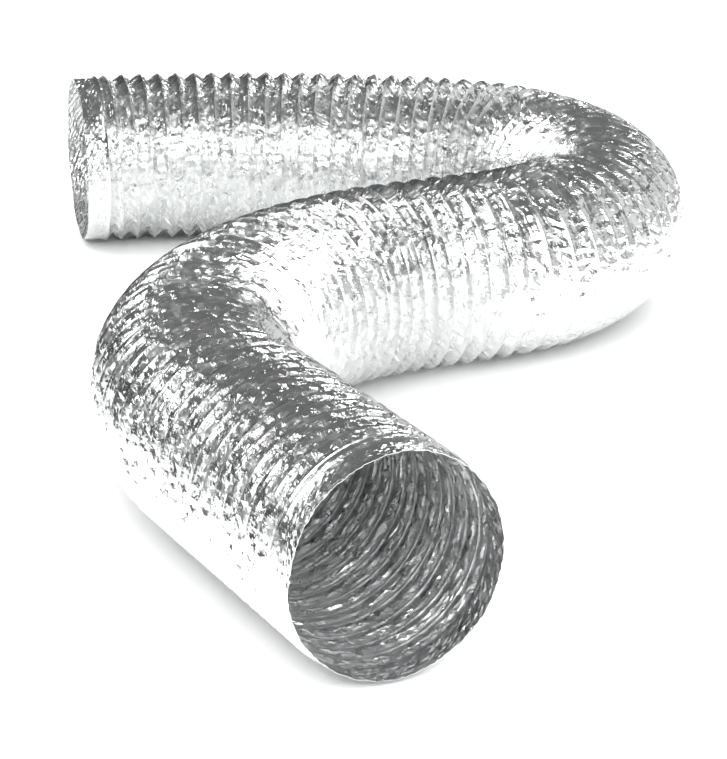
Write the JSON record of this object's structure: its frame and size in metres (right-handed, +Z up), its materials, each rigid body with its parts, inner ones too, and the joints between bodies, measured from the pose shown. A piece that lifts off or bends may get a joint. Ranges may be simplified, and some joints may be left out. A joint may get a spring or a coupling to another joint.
{
  "type": "flexible air duct",
  "caption": "Flexible foil air duct wound from two corrugated foil plies over a spring wire helix, lying in an S, with a plain end band to slip over a round collar.",
  "frame": {"origin": "bottom centre of the duct as it lies", "axes": "+Z up; +X across the picture of the lying duct, +Y away from the open mouth"},
  "size_m": [0.3858, 0.7313, 0.1057],
  "materials": {
    "outer_foil": "bright crumpled foil",
    "inner_foil": "bright crumpled foil",
    "end_foil": "bright smooth foil",
    "spring_wire": "drawn spring wire"
  },
  "bodies": {
    "section_01": {"section_01_outer_ply": "outer_foil", "section_01_wire": "spring_wire", "section_01_inner_ply": "inner_foil", "rear_last_wrap": "end_foil", "rear_end_band": "end_foil"},
    "section_02": {"section_02_outer_ply": "outer_foil", "section_02_wire": "spring_wire", "section_02_inner_ply": "inner_foil"},
    "section_03": {"section_03_outer_ply": "outer_foil", "section_03_wire": "spring_wire", "section_03_inner_ply": "inner_foil"},
    "section_04": {"section_04_outer_ply": "outer_foil", "section_04_wire": "spring_wire", "section_04_inner_ply": "inner_foil"},
    "section_05": {"section_05_outer_ply": "outer_foil", "section_05_wire": "spring_wire", "section_05_inner_ply": "inner_foil"},
    "section_06": {"section_06_outer_ply": "outer_foil", "section_06_wire": "spring_wire", "section_06_inner_ply": "inner_foil"},
    "section_07": {"section_07_outer_ply": "outer_foil", "section_07_wire": "spring_wire", "section_07_inner_ply": "inner_foil"},
    "section_08": {"section_08_outer_ply": "outer_foil", "section_08_wire": "spring_wire", "section_08_inner_ply": "inner_foil"},
    "section_09": {"section_09_outer_ply": "outer_foil", "section_09_wire": "spring_wire", "section_09_inner_ply": "inner_foil"},
    "section_10": {"section_10_outer_ply": "outer_foil", "section_10_wire": "spring_wire", "section_10_inner_ply": "inner_foil"},
    "section_11": {"section_11_outer_ply": "outer_foil", "section_11_wire": "spring_wire", "section_11_inner_ply": "inner_foil"},
    "section_12": {"section_12_outer_ply": "outer_foil", "section_12_wire": "spring_wire", "section_12_inner_ply": "inner_foil"},
    "section_13": {"section_13_outer_ply": "outer_foil", "section_13_wire": "spring_wire", "section_13_inner_ply": "inner_foil"},
    "section_14": {"section_14_outer_ply": "outer_foil", "section_14_wire": "spring_wire", "section_14_inner_ply": "inner_foil"},
    "section_15": {"section_15_outer_ply": "outer_foil", "section_15_wire": "spring_wire", "section_15_inner_ply": "inner_foil"},
    "section_16": {"section_16_outer_ply": "outer_foil", "section_16_wire": "spring_wire", "section_16_inner_ply": "inner_foil"},
    "section_17": {"section_17_outer_ply": "outer_foil", "section_17_wire": "spring_wire", "section_17_inner_ply": "inner_foil"},
    "section_18": {"section_18_outer_ply": "outer_foil", "section_18_wire": "spring_wire", "section_18_inner_ply": "inner_foil", "mouth_last_wrap": "end_foil", "mouth_end_band": "end_foil"}
  },
  "joints": [
    {"name": "stretch_01_02", "type": "slide", "parent": "section_01", "child": "section_02", "axis": [0.994, 0.1095, 0], "range_m": [-0.0085, 0.06], "deforming": ["section_01_outer_ply", "section_01_inner_ply"]},
    {"name": "lift_02_03", "type": "hinge", "parent": "section_02", "child": "section_03", "pos_m": [-0.06112, 0.3131, 0.10568], "axis": [-0.0186, -0.9998, 0], "range_deg": [-4, 28], "deforming": ["section_02_outer_ply", "section_02_inner_ply"]},
    {"name": "bend_03_04", "type": "hinge", "parent": "section_03", "child": "section_04", "pos_m": [0.00313, 0.36068, 0.05284], "axis": [0, 0, 1], "range_deg": [-4, 28], "deforming": ["section_03_outer_ply", "section_03_inner_ply"]},
    {"name": "bend_04_05", "type": "hinge", "parent": "section_04", "child": "section_05", "pos_m": [0.06521, 0.34739, 0.05284], "axis": [0, 0, 1], "range_deg": [-2, 28], "deforming": ["section_04_outer_ply", "section_04_inner_ply"]},
    {"name": "bend_05_06", "type": "hinge", "parent": "section_05", "child": "section_06", "pos_m": [0.13562, 0.30997, 0.05284], "axis": [0, 0, 1], "range_deg": [-2, 28], "deforming": ["section_05_outer_ply", "section_05_inner_ply"]},
    {"name": "bend_06_07", "type": "hinge", "parent": "section_06", "child": "section_07", "pos_m": [0.18197, 0.24292, 0.05284], "axis": [0, 0, 1], "range_deg": [-2, 28], "deforming": ["section_06_outer_ply", "section_06_inner_ply"]},
    {"name": "bend_07_08", "type": "hinge", "parent": "section_07", "child": "section_08", "pos_m": [0.19182, 0.162, 0.05284], "axis": [0, 0, 1], "range_deg": [-2, 28], "deforming": ["section_07_outer_ply", "section_07_inner_ply"]},
    {"name": "bend_08_09", "type": "hinge", "parent": "section_08", "child": "section_09", "pos_m": [0.1629, 0.08579, 0.05284], "axis": [0, 0, 1], "range_deg": [-2, 28], "deforming": ["section_08_outer_ply", "section_08_inner_ply"]},
    {"name": "bend_09_10", "type": "hinge", "parent": "section_09", "child": "section_10", "pos_m": [0.10185, 0.03178, 0.05284], "axis": [0, 0, 1], "range_deg": [-2, 28], "deforming": ["section_09_outer_ply", "section_09_inner_ply"]},
    {"name": "stretch_10_11", "type": "slide", "parent": "section_10", "child": "section_11", "axis": [-0.9113, -0.4117, 0], "range_m": [-0.0085, 0.06], "deforming": ["section_10_outer_ply", "section_10_inner_ply"]},
    {"name": "bend_11_12", "type": "hinge", "parent": "section_11", "child": "section_12", "pos_m": [-0.05706, 0.06352, 0.05284], "axis": [0, 0, -1], "range_deg": [-3, 28], "deforming": ["section_11_outer_ply", "section_11_inner_ply"]},
    {"name": "bend_12_13", "type": "hinge", "parent": "section_12", "child": "section_13", "pos_m": [-0.10301, 0.00673, 0.05284], "axis": [0, 0, -1], "range_deg": [-3, 28], "deforming": ["section_12_outer_ply", "section_12_inner_ply"]},
    {"name": "bend_13_14", "type": "hinge", "parent": "section_13", "child": "section_14", "pos_m": [-0.12917, -0.06148, 0.05284], "axis": [0, 0, -1], "range_deg": [-3, 28], "deforming": ["section_13_outer_ply", "section_13_inner_ply"]},
    {"name": "bend_14_15", "type": "hinge", "parent": "section_14", "child": "section_15", "pos_m": [-0.13296, -0.13443, 0.05284], "axis": [0, 0, -1], "range_deg": [-3, 28], "deforming": ["section_14_outer_ply", "section_14_inner_ply"]},
    {"name": "bend_15_16", "type": "hinge", "parent": "section_15", "child": "section_16", "pos_m": [-0.11402, -0.20499, 0.05284], "axis": [0, 0, -1], "range_deg": [-3, 28], "deforming": ["section_15_outer_ply", "section_15_inner_ply"]},
    {"name": "lift_16_17", "type": "hinge", "parent": "section_16", "child": "section_17", "pos_m": [-0.03991, -0.23399, 0.10568], "axis": [-0.8877, -0.4604, 0], "range_deg": [-5, 28], "deforming": ["section_16_outer_ply", "section_16_inner_ply"]},
    {"name": "stretch_17_18", "type": "slide", "parent": "section_17", "child": "section_18", "axis": [0.4604, -0.8877, 0], "range_m": [-0.0085, 0.06], "deforming": ["section_17_outer_ply", "section_17_inner_ply", "section_18_outer_ply", "section_18_inner_ply"]}
  ]
}
